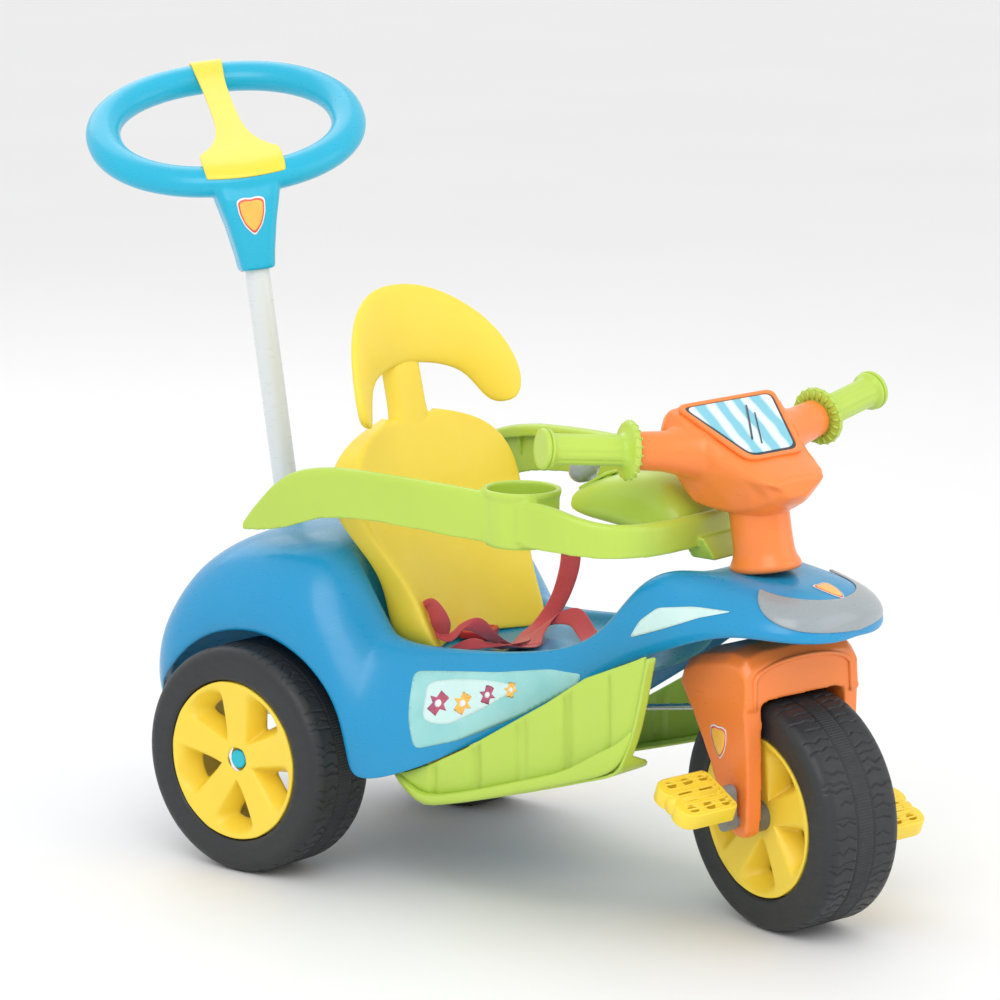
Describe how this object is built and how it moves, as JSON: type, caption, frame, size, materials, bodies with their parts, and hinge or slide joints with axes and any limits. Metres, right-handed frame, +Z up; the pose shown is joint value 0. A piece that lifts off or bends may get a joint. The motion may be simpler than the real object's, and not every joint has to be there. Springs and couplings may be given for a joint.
{
  "type": "children's tricycle",
  "caption": "Ride-on tricycle for a small child: pedalled front wheel, guard ring, high backrest and a parent's steering push bar.",
  "frame": {"origin": "on the ground under the middle of the rear axle", "axes": "+X forward, +Y to the rider's left, +Z up"},
  "size_m": [1.0334, 0.4205, 0.7698],
  "materials": {
    "blue_plastic": "moulded gloss",
    "handle_blue": "moulded plastic",
    "yellow_plastic": "moulded plastic",
    "rim_yellow": "moulded plastic",
    "green_plastic": "moulded plastic",
    "orange_plastic": "moulded plastic",
    "silver_plastic": "moulded plastic",
    "tyre_black": "satin moulded plastic",
    "cap_cyan": "moulded plastic",
    "screen_print": "moulded plastic",
    "red_webbing": "woven webbing",
    "buckle_red": "moulded plastic",
    "grey_plastic": "moulded plastic",
    "steel": "zinc plated",
    "tube_white": "powder coated"
  },
  "bodies": {
    "chassis": {"body_shell": "blue_plastic", "rear_axle": "steel", "axle_bushes": "grey_plastic", "steering_bush_upper": "grey_plastic", "steering_bush_lower": "grey_plastic", "cross_bracket": "steel", "push_bush_lower": "grey_plastic", "push_bush_upper": "grey_plastic", "headlight_band": "silver_plastic", "backrest": "yellow_plastic", "headrest": "yellow_plastic", "belt_crotch": "red_webbing", "belt_right": "red_webbing", "belt_left": "red_webbing", "belt_buckle": "buckle_red", "guard_ring": "green_plastic", "console": "green_plastic", "footrest_right": "green_plastic", "footrest_left": "green_plastic"},
    "steering": {"fork": "orange_plastic", "steering_tube": "steel", "column_cover": "orange_plastic", "cowl": "orange_plastic", "windscreen_panel": "screen_print", "handlebar_core": "steel", "grip_right": "green_plastic", "grip_left": "green_plastic", "cowl_screws": "steel"},
    "front_wheel": {"front_tyre": "tyre_black", "front_rim": "rim_yellow", "hub_spacers": "grey_plastic", "crank_axle": "steel"},
    "pedal_right": {"pedal_right": "yellow_plastic"},
    "pedal_left": {"pedal_left": "yellow_plastic"},
    "rear_wheel_right": {"rear_tyre_right": "tyre_black", "rear_rim_right": "rim_yellow", "hub_cap_right": "cap_cyan"},
    "rear_wheel_left": {"rear_tyre_left": "tyre_black", "rear_rim_left": "rim_yellow", "hub_cap_left": "cap_cyan"},
    "push_bar": {"push_tube": "tube_white", "push_arm": "steel", "tube_collar": "grey_plastic", "handle_ring": "handle_blue", "handle_bridge": "yellow_plastic", "bag_hook": "yellow_plastic"},
    "link_rod": {"link_rod": "steel"},
    "gear_lever": {"gear_lever": "silver_plastic"}
  },
  "joints": [
    {"name": "steer", "type": "hinge", "parent": "chassis", "child": "steering", "pos_m": [0.51215, 0, 0.246], "axis": [-0.1736, 0, 0.9848], "range_deg": [-8, 42]},
    {"name": "front_wheel_spin", "type": "hinge", "parent": "steering", "child": "front_wheel", "pos_m": [0.535, 0, 0.11641], "axis": [0.2879, 0.9563, 0.0508], "continuous": true},
    {"name": "pedal_right_spin", "type": "hinge", "parent": "front_wheel", "child": "pedal_right", "pos_m": [0.50166, -0.1115, 0.14054], "axis": [0.2879, 0.9563, 0.0508], "continuous": true},
    {"name": "pedal_left_spin", "type": "hinge", "parent": "front_wheel", "child": "pedal_left", "pos_m": [0.56834, 0.1115, 0.09229], "axis": [0.2879, 0.9563, 0.0508], "continuous": true},
    {"name": "rear_wheel_right_spin", "type": "hinge", "parent": "chassis", "child": "rear_wheel_right", "pos_m": [0, -0.1685, 0.115], "axis": [0, 1, 0], "continuous": true},
    {"name": "rear_wheel_left_spin", "type": "hinge", "parent": "chassis", "child": "rear_wheel_left", "pos_m": [0, 0.1685, 0.115], "axis": [0, 1, 0], "continuous": true},
    {"name": "push_bar_turn", "type": "hinge", "parent": "chassis", "child": "push_bar", "pos_m": [-0.07, 0, 0.118], "axis": [-0.1736, 0, 0.9848], "range_deg": [-8, 42]},
    {"name": "link_rod_front", "type": "hinge", "parent": "steering", "child": "link_rod", "pos_m": [0.44798, -0.02637, 0.22025], "axis": [-0.1736, 0, 0.9848], "range_deg": [-42, 8]},
    {"name": "gear_lever_tilt", "type": "hinge", "parent": "chassis", "child": "gear_lever", "pos_m": [0.305, 0, 0.393], "axis": [0, 1, 0], "range_deg": [-14, 14]}
  ],
  "couplings": [
    {"joint": "push_bar_turn", "follows": "steer", "ratio": 1},
    {"joint": "link_rod_front", "follows": "steer", "ratio": -1}
  ]
}
